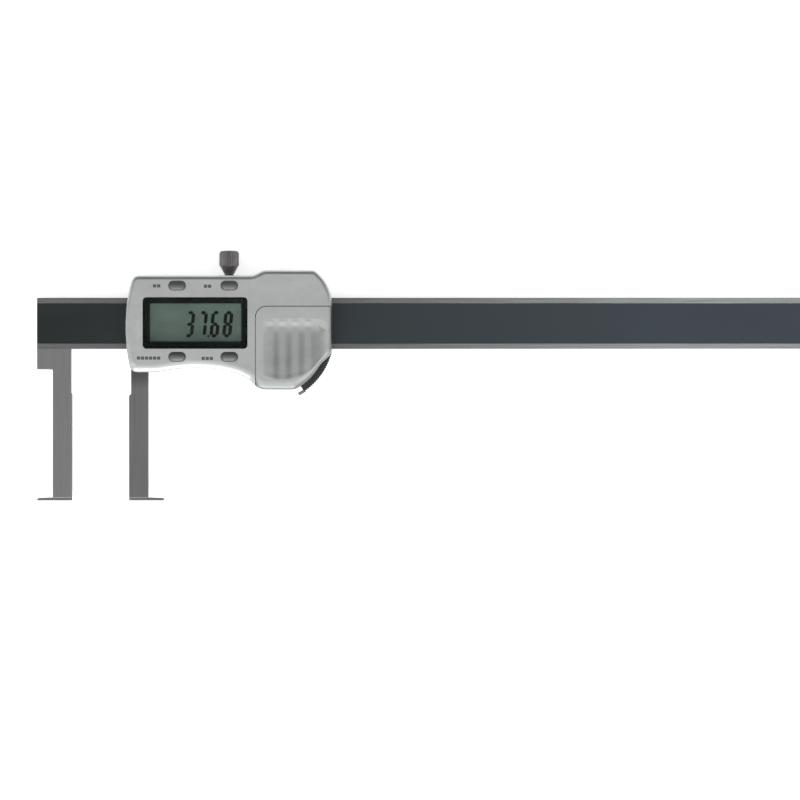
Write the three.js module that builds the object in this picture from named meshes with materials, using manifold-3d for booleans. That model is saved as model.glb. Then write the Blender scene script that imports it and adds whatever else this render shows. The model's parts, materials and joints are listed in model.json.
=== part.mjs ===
// Digital caliper for inside grooves: a steel beam with a fixed hook jaw, and a slider that
// carries a sliding hook jaw, a capacitive readout, a coin cell, four buttons and a lock screw.
//
// Millimetres, +Z up out of the display, +X along the beam, jaws towards -Y. Beam pieces are
// measured from the beam's jaw end, on its centre line, on the plane that the caliper rests on.
// Slider pieces are measured from the slider's own left edge, SLIDER_AT further along X.

import * as THREE from "three";
import { mergeVertices } from "three/addons/utils/BufferGeometryUtils.js";
import Module from "manifold-3d";

const wasm = await Module();
wasm.setup();

// ---------------------------------------------------------------- driving dimensions

const BEAM_LENGTH = 245;
const BEAM_WIDTH = 16;
const BEAM_Z = [1.4, 5.0];
const RECESS_WIDTH = 12.5;
const RECESS_DEPTH = 1;
const RECESS_END = 239;
const FILM_Y = [-6.2, 6.2];
const FILM_THICKNESS = 0.22;

const JAW_REACH = 54.4; // leg ends, from the beam's centre line
const JAW_WIDTH = 6;
const FIXED_LEG_AT = 4.9; // outer face of the fixed leg
const FIXED_BLOCK_BOTTOM = -14.4;
const FIXED_RELIEF = { depth: 0.3, bottom: -22 };
const SLIDING_LEG_AT = 0.7; // inner face of the sliding leg, in slider coordinates
const SLIDING_LEG_TOP = -13;
const SLIDING_RELIEF = { depth: 0.65, bottom: -22.4 };
const TIP_THICKNESS = 0.9;
const TIP_OVERHANG = 4.95;
const TIP_Z = [2, 4.4];

const SLIDER_AT = 28; // slider's left edge at rest
const SLIDER_LENGTH = 64.1;
const TOP_Y = 14.8;
const BUMP_Y = 16.4;
const BUMP_X = [38.5, 44]; // where the top edge starts and ends its climb
const CORNER = { x: 51.2, y: 5.85, radius: 12.9, from: 48.8 }; // upper right, degrees
const ARCH_Y = -14;
const LEFT_BOTTOM_Y = -15.3;
const GRIP_Y = -20.7; // lowest edge, under the battery cover

const BACK_Z = [0, 1.2];
const FRAME_Z = [1.2, 5.5];
const BRIDGE_Z = [5.15, 6.5];
const BASE_TOP = 8.4; // the housing's low rim under the battery cover
const FRONT_Z = 14;
const RAISED_Z = 14.4; // front of the thicker right end
const WALL = 1.4;
const FRONT_EDGE = 1.2; // slope round the front's rim
const FRAME_INSET = 0.4;
const CHANNEL_Y = [-8.1, 8.85];
const POST = { x: [2.4, 3.5], y: [-9.1, 9.5] }; // crosses the channel at the frame's left
const DECK = { x: [41, 62.3], y: [-12.6, 13] }; // carries the battery tray

const WINDOW_X = [5.4, 37.95];
const WINDOW_Y = [-8, 8];
const WINDOW_CORNER = 1.2;
const WINDOW_FLANGE = { reach: 0.6, z: [11.9, 12.5] };
const GLASS = { x: [7.3, 36.1], y: [-7.4, 7.4], z: [9.9, 11.3] };
const HOLDER_TOP = 11.5;
const BOARD = { x: [3.6, 37.8], y: [-12, 12.8], top: 6.5 };
const BOARD_NOTCH = { width: 3, above: 3.8, below: 3 };
const STRIP = { x: [9, 34], y: [6.1, 7.3] }; // contact strip; the other one is its mirror image
const CHIP = { x: 21.5, y: 0.3, radius: 4.4, height: 1.5 };

const COVER_AT = 40.4; // seam on the battery cover's left
const COVER_TOP = 5.2;
const COVER_CORNER = 3.4;
const SEAM = 0.3;
const COVER_CEILING = 12;
const DISH = { x: 48.9, y: -2.4, radius: 15.5, left: 42.3, top: 1.2, right: 62.4, depth: 0.9 };
const RIBS = { count: 4, x: 44.9, pitch: 3.93, radius: 0.75 };

const GRIP_CENTRE = new THREE.Vector2(43.8, -4); // of the curved lower right edge
const GRIP_OUTER = 21;
const GRIP_INNER = 18.6;
const GRIP_ANGLES = [-13.5, -56]; // degrees
const GRIP_SERRATIONS = 12;
const FRONT_GRIP_RADIUS = 18.8;
const BASE_GRIP_RADIUS = 18.4;

const BATTERY = { x: 50.9, y: -6.4, radius: 10, z: [8.5, 11.7] };
const TRAY_TOP = 8.1;
const PEG = { angles: [130, 222, 5], radius: 0.5, play: 0.1, top: 10.4 };
const CONTACT_SHEET = 0.2;
const LEAF = { length: 11, width: 3, bentLength: 7, bentWidth: 2 };
const UPRIGHT = { width: 5, top: 11.3, foot: 0.9 };

const BUTTON_X = [16.1, 32.3];
const BUTTON_Y = [11.6, -10.5];
const BUTTON = { length: 5.3, width: 2.9, gap: 0.2, rise: 0.75, edge: 0.5, skirt: 0.2 };
const BUTTON_FLANGE = { x: [-3.4, 3.4], y: [-1.45, 1.45], bottom: 11.7 };
const BUTTON_STEM = { radius: 1, bottom: 7.4 };
const DOME = { radius: 1.45, height: 0.4 };

const LOCK_AT = 31.9;
const LOCK_TOP = 22.7;
const LOCK = { shank: 1.25, foot: 9, neck: 14.9, shoulder: 17.9, body: 2.75, rim: 3.05 };
const LOCK_KNURLS = 20;
const RAIL_MID_Z = 3.35;
const GIB = { x: [4, 60], y: [8.05, 8.75], z: [1.5, 4.9] };
const GIB_SCREW = { x: [13, 50], length: 4.9, slotWidth: 0.4, slotDepth: 0.6 };

const CASE_SCREWS = [
  [4.4, 11.6],
  [4.4, -11.2],
  [59.3, 11.2],
  [43, -17.3],
];
const CASE_SCREW_LENGTH = 8;
const BOSS_RADIUS = 2;
const SCREW = { headRadius: 1.7, radius: 0.9, headDepth: 0.9 };
const CROSS = { length: 1.8, width: 0.34, depth: 0.55 }; // recess in a screw's head
const STOP = { x: [229, BEAM_LENGTH], y: [-7, 7] };
const STOP_SCREW_X = [233.5, 241];
const STOP_SCREW_LENGTH = 3.3;
const CLEAR = 0.05; // round a screw in its hole

const ROUND = 24; // sides of a small cylinder

// ---------------------------------------------------------------- materials

function metal(color, roughness) {
  return new THREE.MeshStandardMaterial({ color, roughness, metalness: 1 });
}
function plastic(color, roughness) {
  return new THREE.MeshStandardMaterial({ color, roughness, metalness: 0 });
}

const steel = metal(0x8d8f92, 0.38);
const jawSteel = metal(0x7f8082, 0.42);
const satinSilver = metal(0xb4bab8, 0.34);
const darkSteel = metal(0x4b4748, 0.4);
const springSteel = metal(0xb9b7ae, 0.3);
const bronze = metal(0xa8804a, 0.4);
const gold = metal(0xc9a55c, 0.3);
const blackFilm = plastic(0x23282a, 0.22);
const blackPlastic = plastic(0x101413, 0.3);
const greyPlastic = plastic(0x5c6060, 0.6);
const boardGreen = plastic(0x1f5a3a, 0.5);
const displayGrey = plastic(0x8a958e, 0.25);
const rubber = plastic(0x2a2a2c, 0.8);
const gripDark = plastic(0x1b1d1d, 0.6);

// ---------------------------------------------------------------- solids

// A closed three.js geometry as a solid that can be joined and cut.
function solid(geometry) {
  const loose = geometry.index ? geometry.toNonIndexed() : geometry;
  const bare = new THREE.BufferGeometry();
  bare.setAttribute("position", loose.getAttribute("position"));
  const merged = mergeVertices(bare, 1e-4);
  const mesh = new wasm.Mesh({
    numProp: 3,
    vertProperties: merged.getAttribute("position").array,
    triVerts: new Uint32Array(merged.index.array),
  });
  return new wasm.Manifold(mesh);
}

function geometryOf(made) {
  const { vertProperties, triVerts } = made.getMesh();
  const geometry = new THREE.BufferGeometry();
  geometry.setAttribute("position", new THREE.BufferAttribute(vertProperties, 3));
  geometry.setIndex(new THREE.BufferAttribute(triVerts, 1));
  geometry.computeVertexNormals();
  return geometry;
}

function block([x0, x1], [y0, y1], [z0, z1]) {
  const geometry = new THREE.BoxGeometry(x1 - x0, y1 - y0, z1 - z0);
  geometry.translate((x0 + x1) / 2, (y0 + y1) / 2, (z0 + z1) / 2);
  return solid(geometry);
}

// A plan outline, as a Shape or as points, raised from z0 to z1.
function prism(outline, [z0, z1], curveSegments = 8) {
  const shape = Array.isArray(outline) ? new THREE.Shape(outline) : outline;
  const options = { depth: z1 - z0, bevelEnabled: false, curveSegments };
  return solid(new THREE.ExtrudeGeometry(shape, options).translate(0, 0, z0));
}

// The same, with the upper edge sloped off by `edge`.
function softPrism(outline, [z0, z1], edge, curveSegments = 8) {
  const shape = Array.isArray(outline) ? new THREE.Shape(outline) : outline;
  const options = {
    depth: z1 - z0 - edge,
    bevelThickness: edge,
    bevelSize: edge,
    bevelOffset: -edge,
    bevelSegments: 1,
    curveSegments,
  };
  const whole = solid(new THREE.ExtrudeGeometry(shape, options).translate(0, 0, z0));
  const below = block([-400, 400], [-400, 400], [z0 - 2 * edge, z0]);
  return whole.subtract(below);
}

function rounded([x0, x1], [y0, y1], radius) {
  const shape = new THREE.Shape();
  const quarter = Math.PI / 2;
  shape.absarc(x1 - radius, y1 - radius, radius, 0, quarter, false);
  shape.absarc(x0 + radius, y1 - radius, radius, quarter, 2 * quarter, false);
  shape.absarc(x0 + radius, y0 + radius, radius, 2 * quarter, 3 * quarter, false);
  shape.absarc(x1 - radius, y0 + radius, radius, 3 * quarter, 4 * quarter, false);
  return shape;
}

function stadium(length, width) {
  const shape = new THREE.Shape();
  const centre = (length - width) / 2;
  shape.absarc(centre, 0, width / 2, -Math.PI / 2, Math.PI / 2, false);
  shape.absarc(-centre, 0, width / 2, Math.PI / 2, 1.5 * Math.PI, false);
  return spaced(shape.getPoints(8));
}

// A profile of [radius, height] pairs turned about the Y axis.
function turned(profile, sides = ROUND) {
  const points = profile.map(([r, h]) => new THREE.Vector2(r, h));
  return solid(new THREE.LatheGeometry(points, sides));
}

// The same, turned about a line along Z through x, y.
function turnedUp(profile, x = 0, y = 0, sides = ROUND) {
  return turned(profile, sides).rotate([90, 0, 0]).translate([x, y, 0]);
}

function rodAlongZ(radius, [z0, z1], x, y, sides = ROUND) {
  return turnedUp([[0, z0], [radius, z0], [radius, z1], [0, z1]], x, y, sides);
}

function rodAlongY(radius, [y0, y1], x, z) {
  return turned([[0, y0], [radius, y0], [radius, y1], [0, y1]]).translate([x, 0, z]);
}

// An outline moved inwards; points that would cross over in a tight corner drop out.
function inset(points, distance) {
  const count = points.length;
  const edge = (i) => {
    const a = points[(i + count) % count];
    const b = points[(i + 1) % count];
    return b.clone().sub(a).normalize();
  };
  const moved = points.map((point, i) => {
    const before = edge(i - 1);
    const after = edge(i);
    const normal = new THREE.Vector2(-before.y - after.y, before.x + after.x).normalize();
    const lean = normal.x * -after.y + normal.y * after.x;
    return point.clone().addScaledVector(normal, distance / lean);
  });
  const near = (q) =>
    Math.min(
      ...points.map((a, i) => {
        const b = points[(i + 1) % count];
        const along = b.clone().sub(a);
        const t = THREE.MathUtils.clamp(q.clone().sub(a).dot(along) / along.lengthSq(), 0, 1);
        return q.distanceTo(a.clone().addScaledVector(along, t));
      }),
    );
  return spaced(moved.filter((q) => near(q) > distance - 0.02));
}

// Drops points that nearly repeat the next one.
function spaced(points) {
  return points.filter((p, i) => p.distanceTo(points[(i + 1) % points.length]) > 0.02);
}

// ---------------------------------------------------------------- slider outlines

// The slider's left, bottom left and top edges, which its base and its front share.
function startOutline() {
  const shape = new THREE.Shape();
  shape.moveTo(44, GRIP_Y);
  shape.quadraticCurveTo(41.3, GRIP_Y, 39.5, -18.7);
  shape.bezierCurveTo(36.4, -15.3, 28.5, ARCH_Y, 22, ARCH_Y);
  shape.bezierCurveTo(15, ARCH_Y, 12.5, LEFT_BOTTOM_Y + 0.2, 8.6, LEFT_BOTTOM_Y);
  shape.lineTo(3.9, LEFT_BOTTOM_Y);
  shape.quadraticCurveTo(1.8, LEFT_BOTTOM_Y, 1.25, -13.1);
  shape.quadraticCurveTo(-1.7, 0, 1.75, 12.6);
  shape.quadraticCurveTo(2.3, TOP_Y, 4.2, TOP_Y);
  shape.lineTo(BUMP_X[0], TOP_Y);
  shape.bezierCurveTo(41, TOP_Y, 41.6, BUMP_Y, BUMP_X[1], BUMP_Y);
  shape.lineTo(57.8, BUMP_Y);
  shape.quadraticCurveTo(58.95, BUMP_Y, 59.7, 15.55);
  const from = THREE.MathUtils.degToRad(CORNER.from);
  shape.absarc(CORNER.x, CORNER.y, CORNER.radius, from, 0, true);
  return shape;
}

// Seen from the front: the whole silhouette, battery cover included.
function frontOutline() {
  const [start, end] = [-32, -60].map(THREE.MathUtils.degToRad);
  const bend = GRIP_CENTRE.clone();
  bend.x += FRONT_GRIP_RADIUS * Math.cos(start);
  bend.y += FRONT_GRIP_RADIUS * Math.sin(start);
  const shape = startOutline();
  shape.lineTo(SLIDER_LENGTH, -7.8);
  shape.bezierCurveTo(SLIDER_LENGTH, -10.6, 61.6, -11, bend.x, bend.y);
  shape.absarc(GRIP_CENTRE.x, GRIP_CENTRE.y, FRONT_GRIP_RADIUS, start, end, true);
  shape.quadraticCurveTo(52.5, GRIP_Y, 51, GRIP_Y);
  return tidy(shape);
}

// Below the battery cover: stepped in at the lower right, where the thumb rest sits.
function baseOutline() {
  const [step, end] = [-12.5, -62].map(THREE.MathUtils.degToRad);
  const shape = startOutline();
  shape.lineTo(SLIDER_LENGTH, GRIP_CENTRE.y + BASE_GRIP_RADIUS * Math.sin(step));
  shape.absarc(GRIP_CENTRE.x, GRIP_CENTRE.y, BASE_GRIP_RADIUS, step, end, true);
  shape.lineTo(44.5, GRIP_Y + 0.3);
  return tidy(shape);
}

// Points of a closed shape, anticlockwise.
function tidy(shape) {
  const kept = spaced(shape.getPoints(7));
  return THREE.ShapeUtils.isClockWise(kept) ? kept.reverse() : kept;
}

// The battery cover's field of the front, reaching past the silhouette on two sides.
function coverField(grow) {
  const left = COVER_AT - grow;
  const top = COVER_TOP + grow;
  const radius = COVER_CORNER + grow;
  const shape = new THREE.Shape();
  shape.moveTo(SLIDER_LENGTH + 9, top);
  shape.lineTo(left + radius, top);
  shape.absarc(left + radius, top - radius, radius, Math.PI / 2, Math.PI, false);
  shape.lineTo(left, GRIP_Y - 9);
  shape.lineTo(SLIDER_LENGTH + 9, GRIP_Y - 9);
  return shape;
}

const front = frontOutline();
const base = baseOutline();

// ---------------------------------------------------------------- beam pieces

function makeBeam() {
  const half = BEAM_WIDTH / 2;
  const recess = block(
    [-1, RECESS_END],
    [-RECESS_WIDTH / 2, RECESS_WIDTH / 2],
    [BEAM_Z[1] - RECESS_DEPTH, BEAM_Z[1] + 1],
  );
  let made = block([0, BEAM_LENGTH], [-half, half], BEAM_Z).subtract(recess);
  for (const x of STOP_SCREW_X) {
    const z = [0, STOP_SCREW_LENGTH + 0.2];
    made = made.subtract(rodAlongZ(SCREW.radius + CLEAR, z, x, 0));
  }
  return made;
}

function makeScaleBoard() {
  const z0 = BEAM_Z[1] - RECESS_DEPTH;
  return block([0, RECESS_END], FILM_Y, [z0, z0 + RECESS_DEPTH - FILM_THICKNESS]);
}

function makeScaleFilm() {
  const z0 = BEAM_Z[1] - FILM_THICKNESS;
  return block([0, RECESS_END], FILM_Y, [z0, z0 + FILM_THICKNESS]);
}

function makeFixedJaw() {
  const inner = FIXED_LEG_AT + JAW_WIDTH;
  const relieved = inner - FIXED_RELIEF.depth;
  const outline = [
    [0, -BEAM_WIDTH / 2],
    [0, FIXED_BLOCK_BOTTOM],
    [FIXED_LEG_AT, FIXED_BLOCK_BOTTOM],
    [FIXED_LEG_AT, -JAW_REACH],
    [inner, -JAW_REACH],
    [inner, FIXED_RELIEF.bottom],
    [relieved, FIXED_RELIEF.bottom],
    [relieved, -BEAM_WIDTH / 2],
  ].map(([x, y]) => new THREE.Vector2(x, y));
  return prism(outline, BEAM_Z);
}

function makeEndStop() {
  let made = block(STOP.x, STOP.y, [0, BEAM_Z[0]]);
  for (const x of STOP_SCREW_X) made = made.subtract(screwHole(x, 0, BEAM_Z[0]));
  return made;
}

// Countersunk screw pointing up, with a cross recess in its head.
function makeScrew(length) {
  const { headRadius, radius, headDepth } = SCREW;
  const sunk = 0.1;
  const body = turnedUp([
    [0, sunk],
    [headRadius - sunk, sunk],
    [radius, headDepth],
    [radius, length],
    [0, length],
  ]);
  const along = [-CROSS.length / 2, CROSS.length / 2];
  const across = [-CROSS.width / 2, CROSS.width / 2];
  const z = [0, CROSS.depth];
  return body.subtract(block(along, across, z)).subtract(block(across, along, z));
}

// The countersunk hole that such a screw goes through, down to z = 0.
function screwHole(x, y, depth) {
  const { headRadius, radius, headDepth } = SCREW;
  const cut = [
    [0, -0.5],
    [headRadius + CLEAR + 0.5, -0.5],
    [radius + CLEAR, headDepth + CLEAR],
    [radius + CLEAR, depth + 0.5],
    [0, depth + 0.5],
  ];
  return turnedUp(cut, x, y);
}

// Hook blade under a leg; it points towards +X from x = 0.
function makeTip() {
  const edge = 0.3;
  const length = JAW_WIDTH + TIP_OVERHANG;
  const outline = [
    [0, 0],
    [0, -TIP_THICKNESS],
    [length, -TIP_THICKNESS],
    [length, -edge],
    [length - edge, 0],
  ].map(([x, y]) => new THREE.Vector2(x, y));
  return prism(outline, TIP_Z);
}

// ---------------------------------------------------------------- slider frame and jaw

function makeFrame() {
  let made = prism(inset(base, FRAME_INSET), FRAME_Z);
  made = made.subtract(block([-9, SLIDER_LENGTH + 9], CHANNEL_Y, [0, 9]));
  const jawSlot = block([0, SLIDING_LEG_AT + JAW_WIDTH + 0.1], [-19, SLIDING_LEG_TOP], [0, 9]);
  made = made.subtract(jawSlot).add(block(POST.x, POST.y, BRIDGE_Z));
  const deckField = block(DECK.x, DECK.y, BRIDGE_Z);
  const deck = prism(inset(base, WALL + 0.15), BRIDGE_Z).intersect(deckField);
  const deckNotch = rodAlongZ(BOSS_RADIUS + 0.2, [FRAME_Z[1], 9], ...CASE_SCREWS[2]);
  made = made.add(deck).subtract(deckNotch);
  for (const [x, y] of CASE_SCREWS) {
    made = made.subtract(rodAlongZ(SCREW.radius + CLEAR, [0, 9], x, y));
  }
  for (const x of [LOCK_AT, ...GIB_SCREW.x]) {
    made = made.subtract(rodAlongY(LOCK.shank + CLEAR, [8, 20], x, RAIL_MID_Z));
  }
  return made.subtract(gripTongue(CLEAR));
}

function makeSlidingJaw() {
  const inner = SLIDING_LEG_AT;
  const outer = inner + JAW_WIDTH;
  const relieved = inner + SLIDING_RELIEF.depth;
  const outline = [
    [relieved, SLIDING_LEG_TOP],
    [relieved, SLIDING_RELIEF.bottom],
    [inner, SLIDING_RELIEF.bottom],
    [inner, -JAW_REACH],
    [outer, -JAW_REACH],
    [outer, SLIDING_LEG_TOP],
  ].map(([x, y]) => new THREE.Vector2(x, y));
  return prism(outline, BEAM_Z);
}

function makeBackPlate() {
  let made = prism(inset(base, FRAME_INSET + 0.3), BACK_Z);
  for (const [x, y] of CASE_SCREWS) made = made.subtract(screwHole(x, y, BACK_Z[1]));
  return made;
}

// A sector of a ring round the grip's centre.
function gripSector(inner, outer, [from, to], z) {
  const shape = new THREE.Shape();
  const [a, b] = [from, to].map(THREE.MathUtils.degToRad);
  shape.absarc(GRIP_CENTRE.x, GRIP_CENTRE.y, outer, a, b, true);
  shape.absarc(GRIP_CENTRE.x, GRIP_CENTRE.y, inner, b, a, false);
  return prism(shape, z, 14);
}

// The foot that the thumb rest has under the frame.
function gripTongue(grow) {
  const angles = [-24 + grow, -50 - grow];
  const z = [FRAME_Z[0] - grow, FRAME_Z[0] + 1 + grow];
  return gripSector(GRIP_INNER - 3 - grow, GRIP_INNER + 0.6, angles, z);
}

function makeThumbRest() {
  const z = [FRAME_Z[0], BASE_TOP];
  let made = gripSector(GRIP_INNER, GRIP_OUTER, GRIP_ANGLES, z).add(gripTongue(0));
  const [from, to] = GRIP_ANGLES;
  for (let i = 1; i < GRIP_SERRATIONS; i += 1) {
    const angle = THREE.MathUtils.degToRad(from + ((to - from) * i) / GRIP_SERRATIONS);
    const x = GRIP_CENTRE.x + (GRIP_OUTER + 0.15) * Math.cos(angle);
    const y = GRIP_CENTRE.y + (GRIP_OUTER + 0.15) * Math.sin(angle);
    made = made.subtract(rodAlongZ(0.45, [0, 9], x, y, 6));
  }
  const lip = gripSector(GRIP_OUTER - 0.9, GRIP_OUTER + 0.1, [to + 1, to - 5.5], z);
  return made.add(lip);
}

// ---------------------------------------------------------------- guide and lock

function makeLockScrew() {
  const { shank, foot, neck, shoulder, body, rim } = LOCK;
  const points = [];
  for (let i = 0; i < 2 * LOCK_KNURLS; i += 1) {
    const point = new THREE.Vector2(i % 2 ? body + CLEAR : rim, 0);
    points.push(point.rotateAround(new THREE.Vector2(), (Math.PI * i) / LOCK_KNURLS));
  }
  const grip = prism(points, [0.3 - LOCK_TOP, -shoulder]).rotate([90, 0, 0]);
  const core = turned([
    [0, foot],
    [shank, foot],
    [shank, neck],
    [body, shoulder],
    [body, LOCK_TOP],
    [0, LOCK_TOP],
  ]);
  return core.add(grip);
}

function makeGibScrew() {
  const { length, slotWidth, slotDepth } = GIB_SCREW;
  const z = [-slotWidth / 2, slotWidth / 2];
  const slot = block([-2, 2], [length - slotDepth, length + 1], z);
  return rodAlongY(LOCK.shank, [0, length], 0, 0).subtract(slot);
}

// ---------------------------------------------------------------- housing and cover

// The slider's front as a soft-edged slab, thicker to the right of the display.
function frontSlab(z0) {
  const low = softPrism(front, [z0, FRONT_Z], FRONT_EDGE);
  const high = softPrism(front, [z0, RAISED_Z], FRONT_EDGE);
  const right = block([BUMP_X[0], SLIDER_LENGTH + 9], [-40, 40], [0, 40]);
  return low.add(high.intersect(right));
}

function makeHousing() {
  const seamOut = SEAM / 2;
  const inner = inset(front, WALL);
  const slab = frontSlab(BASE_TOP).subtract(prism(coverField(seamOut), [0, 40]));
  const rim = prism(base, [FRAME_Z[1], BASE_TOP]);
  const lowRoom = prism(inset(base, WALL), [0, BASE_TOP + 0.01]);
  const highRoom = prism(inner, [BASE_TOP - 0.01, FRONT_Z - WALL]).subtract(
    prism(coverField(seamOut + 1.1), [0, 40]),
  );
  let made = slab.add(rim).subtract(lowRoom).subtract(highRoom);
  CASE_SCREWS.forEach(([x, y], i) => {
    const top = i === 3 ? BASE_TOP - 0.1 : FRONT_Z - 1;
    made = made.add(rodAlongZ(BOSS_RADIUS, [FRAME_Z[1], top], x, y));
    made = made.subtract(rodAlongZ(SCREW.radius + CLEAR, [0, CASE_SCREW_LENGTH + 0.1], x, y));
  });
  made = made.subtract(prism(rounded(WINDOW_X, WINDOW_Y, WINDOW_CORNER), [9, 20], 4));
  const hole = prism(
    stadium(BUTTON.length + 2 * BUTTON.gap, BUTTON.width + 2 * BUTTON.gap),
    [9, 20],
  );
  eachButton((x, y) => {
    made = made.subtract(hole.translate([x, y, 0]));
  });
  return made;
}

function makeBatteryCover() {
  const seamIn = -SEAM / 2;
  const slab = frontSlab(BASE_TOP + 0.1).intersect(prism(coverField(seamIn), [0, 40]));
  const room = prism(inset(front, WALL), [0, COVER_CEILING]).intersect(
    block([0, 99], [-99, COVER_TOP - 1.2], [0, 40]),
  );
  let made = slab.subtract(room).subtract(coverDish());
  const solidRoof = block([0, 99], [-99, 99], [COVER_CEILING + 0.5, 20]);
  for (let i = 0; i < RIBS.count; i += 1) {
    const x = RIBS.x + RIBS.pitch * i;
    const bottom = DISH.y - Math.sqrt(DISH.radius ** 2 - (x - DISH.x) ** 2);
    const bar = rodAlongY(RIBS.radius, [bottom - 0.3, DISH.top - 0.4], x, RAISED_Z - 1);
    made = made.add(bar.intersect(solidRoof));
  }
  return made;
}

// The thumb hollow in the cover's face: straight above, a bow below.
function coverDish() {
  const z = [RAISED_Z - DISH.depth, 20];
  const bow = rodAlongZ(DISH.radius, z, DISH.x, DISH.y, 72);
  return bow.intersect(block([DISH.left, DISH.right], [-40, DISH.top], z));
}

// ---------------------------------------------------------------- buttons, display, board

function eachButton(visit) {
  let index = 0;
  for (const y of BUTTON_Y) {
    for (const x of BUTTON_X) {
      index += 1;
      visit(x, y, index);
    }
  }
}

// One button, its cap standing proud of the housing, with a stop flange and a stem.
function makeButton() {
  const { length, width, rise, edge, skirt } = BUTTON;
  const low = FRONT_Z - WALL - skirt;
  const cap = softPrism(stadium(length, width), [low, FRONT_Z + rise], edge);
  const flange = block(BUTTON_FLANGE.x, BUTTON_FLANGE.y, [BUTTON_FLANGE.bottom, low]);
  const stemZ = [BUTTON_STEM.bottom, BUTTON_FLANGE.bottom + 0.1];
  return cap.add(flange).add(rodAlongZ(BUTTON_STEM.radius, stemZ, 0, 0, 12));
}

function makeSnapDome() {
  const { radius, height } = DOME;
  const foot = BOARD.top;
  const profile = [
    [0, foot],
    [radius, foot],
    [0.83 * radius, foot + 0.62 * height],
    [0.41 * radius, foot + height],
    [0, foot + height],
  ];
  return turnedUp(profile, 0, 0, 16);
}

// The board, cut back at its left corners for the screw bosses.
function makeBoard() {
  const { x, y, top } = BOARD;
  const corner = [x[0] - 1, x[0] + BOARD_NOTCH.width];
  return block(x, y, [FRAME_Z[1], top])
    .subtract(block(corner, [y[1] - BOARD_NOTCH.above, y[1] + 1], [0, 9]))
    .subtract(block(corner, [y[0] - 1, y[0] + BOARD_NOTCH.below], [0, 9]));
}

function makeChipCover() {
  const { x, y, radius, height } = CHIP;
  const foot = BOARD.top;
  const dome = [
    [0, foot],
    [radius, foot],
    [0.9 * radius, foot + 0.5 * height],
    [0.6 * radius, foot + 0.87 * height],
    [0, foot + height],
  ];
  return turnedUp(dome, x, y);
}

// A range made wider by `by` at both ends.
function grown([low, high], by) {
  return [low - by, high + by];
}

function makeDisplayHolder() {
  const outer = rounded(grown(GLASS.x, 1.5), grown(GLASS.y, 1.2), 0.8);
  const room = block(grown(GLASS.x, 0.1), grown(GLASS.y, 0.1), [0, 20]);
  return prism(outer, [BOARD.top, HOLDER_TOP], 3).subtract(room);
}

function makeContactStrip(y) {
  return block(STRIP.x, y, [BOARD.top, GLASS.z[0]]);
}

function makeWindow() {
  const play = 0.08;
  const { reach, z } = WINDOW_FLANGE;
  const outline = [grown(WINDOW_X, -play), grown(WINDOW_Y, -play), WINDOW_CORNER - play];
  const pane = prism(rounded(...outline), [z[1] - 0.1, FRONT_Z - 0.15], 4);
  return pane.add(block(grown(WINDOW_X, reach), grown(WINDOW_Y, reach), z));
}

// ---------------------------------------------------------------- power

function makeBatteryTray() {
  const field = block([COVER_AT - 0.2, 99], [-99, COVER_TOP - 0.3], [0, 40]);
  let made = prism(inset(base, WALL + 0.15), [BRIDGE_Z[1], TRAY_TOP]).intersect(field);
  const screw = CASE_SCREWS[3];
  made = made.subtract(rodAlongZ(BOSS_RADIUS + 0.15, [0, 40], ...screw));
  const reach = BATTERY.radius + PEG.radius + PEG.play;
  for (const angle of PEG.angles) {
    const turn = THREE.MathUtils.degToRad(angle);
    const x = BATTERY.x + reach * Math.cos(turn);
    const y = BATTERY.y + reach * Math.sin(turn);
    made = made.add(rodAlongZ(PEG.radius, [TRAY_TOP - 0.1, PEG.top], x, y, 12));
  }
  return made;
}

function makeBattery() {
  const { radius, z, x, y } = BATTERY;
  const step = 0.5;
  const profile = [
    [0, z[0]],
    [radius - 1.2, z[0]],
    [radius - 1.2, z[0] + step],
    [radius, z[0] + step],
    [radius, z[1] - 0.2],
    [radius - 0.2, z[1]],
    [0, z[1]],
  ];
  return turnedUp(profile, x, y, 40);
}

// Spring leaf under the battery.
function makeNegativeContact() {
  const { x, y, z } = BATTERY;
  const sheetTop = TRAY_TOP + CONTACT_SHEET;
  const centred = (length, width, height) =>
    block([x - length / 2, x + length / 2], [y - width / 2, y + width / 2], height);
  const leaf = centred(LEAF.length, LEAF.width, [TRAY_TOP, sheetTop]);
  return leaf.add(centred(LEAF.bentLength, LEAF.bentWidth, [sheetTop - 0.1, z[0]]));
}

// Upright leaf that touches the battery's side.
function makePositiveContact() {
  const { x, y, radius } = BATTERY;
  const left = x - radius - 2.5 * CONTACT_SHEET;
  const sides = [y - UPRIGHT.width / 2, y + UPRIGHT.width / 2];
  const upright = block([left, left + 2 * CONTACT_SHEET], sides, [TRAY_TOP, UPRIGHT.top]);
  const foot = block([left, left + UPRIGHT.foot], sides, [TRAY_TOP, TRAY_TOP + 0.3]);
  return upright.add(foot);
}

// ---------------------------------------------------------------- assembly

const caliper = new THREE.Group();
const beamGroup = new THREE.Group();
const sliderGroup = new THREE.Group();
sliderGroup.position.x = SLIDER_AT;
caliper.add(beamGroup, sliderGroup);

// The origin is under the middle of the whole caliper's box.
const lowX = FIXED_LEG_AT - TIP_OVERHANG;
caliper.position.set(
  -(lowX + BEAM_LENGTH) / 2,
  -(LOCK_TOP - JAW_REACH - TIP_THICKNESS) / 2,
  0,
);

function add(group, name, made, material, [x, y, z] = [0, 0, 0]) {
  const mesh = new THREE.Mesh(geometryOf(made), material.clone());
  mesh.name = name;
  mesh.position.set(x, y, z);
  group.add(mesh);
  return mesh;
}

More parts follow.
